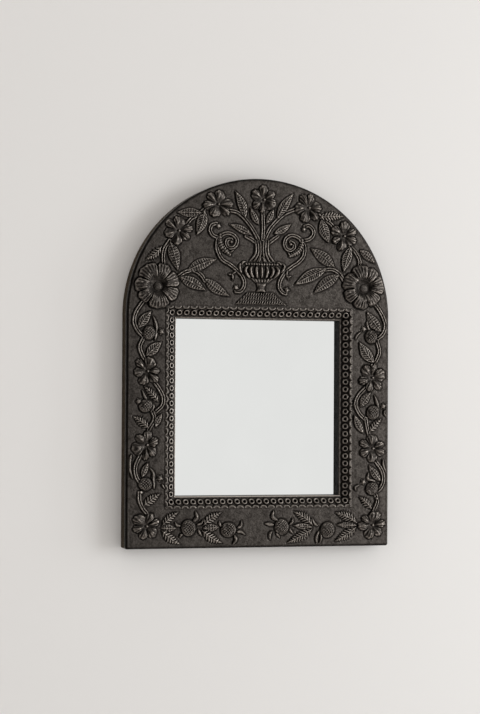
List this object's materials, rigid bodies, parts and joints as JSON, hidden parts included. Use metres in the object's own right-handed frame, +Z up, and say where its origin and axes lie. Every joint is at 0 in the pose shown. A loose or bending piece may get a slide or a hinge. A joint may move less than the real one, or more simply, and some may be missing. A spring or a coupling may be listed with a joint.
{
  "type": "arched tin wall mirror",
  "caption": "Arched wall mirror: an embossed, antiqued tin sheet over a wooden core, with a recessed mirror, punched sight edge and a ring hanger.",
  "frame": {"origin": "where a wall hook carries the hanger ring, behind the head", "axes": "+Z up, +X to the right of a viewer facing the mirror, +Y into the wall, so the mirror faces -Y"},
  "size_m": [0.38, 0.0372, 0.5079],
  "materials": {
    "antiqued_tin": "antiqued satin",
    "tin_band": "antiqued satin",
    "liner_tin": "antiqued satin",
    "tack_steel": "dull",
    "zinc_steel": "zinc plated",
    "core_wood": "sawn pine",
    "dowel_wood": "beech",
    "mirror": "silvered float glass",
    "card": "corrugated card",
    "hardboard": "hardboard",
    "felt": "pressed felt"
  },
  "bodies": {
    "mirror_frame": {"embossed_face_sheet": "antiqued_tin", "side_band": "tin_band", "bottom_band": "tin_band", "band_tacks": "tack_steel", "head_board": "core_wood", "left_stile_board": "core_wood", "right_stile_board": "core_wood", "bottom_rail_board": "core_wood", "frame_dowels": "dowel_wood", "sight_liner_top": "liner_tin", "sight_liner_bottom": "liner_tin", "sight_liner_left": "liner_tin", "sight_liner_right": "liner_tin", "mirror_glass": "mirror", "backing_pad": "card", "backing_board": "hardboard", "turn_button_screws": "zinc_steel", "hanger_strap": "zinc_steel", "hanger_screws": "zinc_steel", "wall_bumper_left": "felt", "wall_bumper_right": "felt"},
    "hanger_ring": {"hanger_ring": "zinc_steel"},
    "turn_button_1": {"turn_button_1": "zinc_steel"},
    "turn_button_2": {"turn_button_2": "zinc_steel"},
    "turn_button_3": {"turn_button_3": "zinc_steel"},
    "turn_button_4": {"turn_button_4": "zinc_steel"},
    "turn_button_5": {"turn_button_5": "zinc_steel"},
    "turn_button_6": {"turn_button_6": "zinc_steel"}
  },
  "joints": [
    {"name": "hanger_ring_swing", "type": "hinge", "parent": "mirror_frame", "child": "hanger_ring", "pos_m": [0, 0, -0.0187], "axis": [-1, 0, 0], "range_deg": [0, 180]},
    {"name": "turn_button_1_turn", "type": "hinge", "parent": "mirror_frame", "child": "turn_button_1", "pos_m": [-0.1345, -0.00168, -0.3437], "axis": [0, 1, 0], "continuous": true},
    {"name": "turn_button_2_turn", "type": "hinge", "parent": "mirror_frame", "child": "turn_button_2", "pos_m": [-0.1345, -0.00168, -0.2187], "axis": [0, 1, 0], "continuous": true},
    {"name": "turn_button_3_turn", "type": "hinge", "parent": "mirror_frame", "child": "turn_button_3", "pos_m": [0.1345, -0.00168, -0.3437], "axis": [0, 1, 0], "continuous": true},
    {"name": "turn_button_4_turn", "type": "hinge", "parent": "mirror_frame", "child": "turn_button_4", "pos_m": [0.1345, -0.00168, -0.2187], "axis": [0, 1, 0], "continuous": true},
    {"name": "turn_button_5_turn", "type": "hinge", "parent": "mirror_frame", "child": "turn_button_5", "pos_m": [0, -0.00168, -0.4187], "axis": [0, 1, 0], "continuous": true},
    {"name": "turn_button_6_turn", "type": "hinge", "parent": "mirror_frame", "child": "turn_button_6", "pos_m": [0, -0.00168, -0.1437], "axis": [0, 1, 0], "continuous": true}
  ]
}
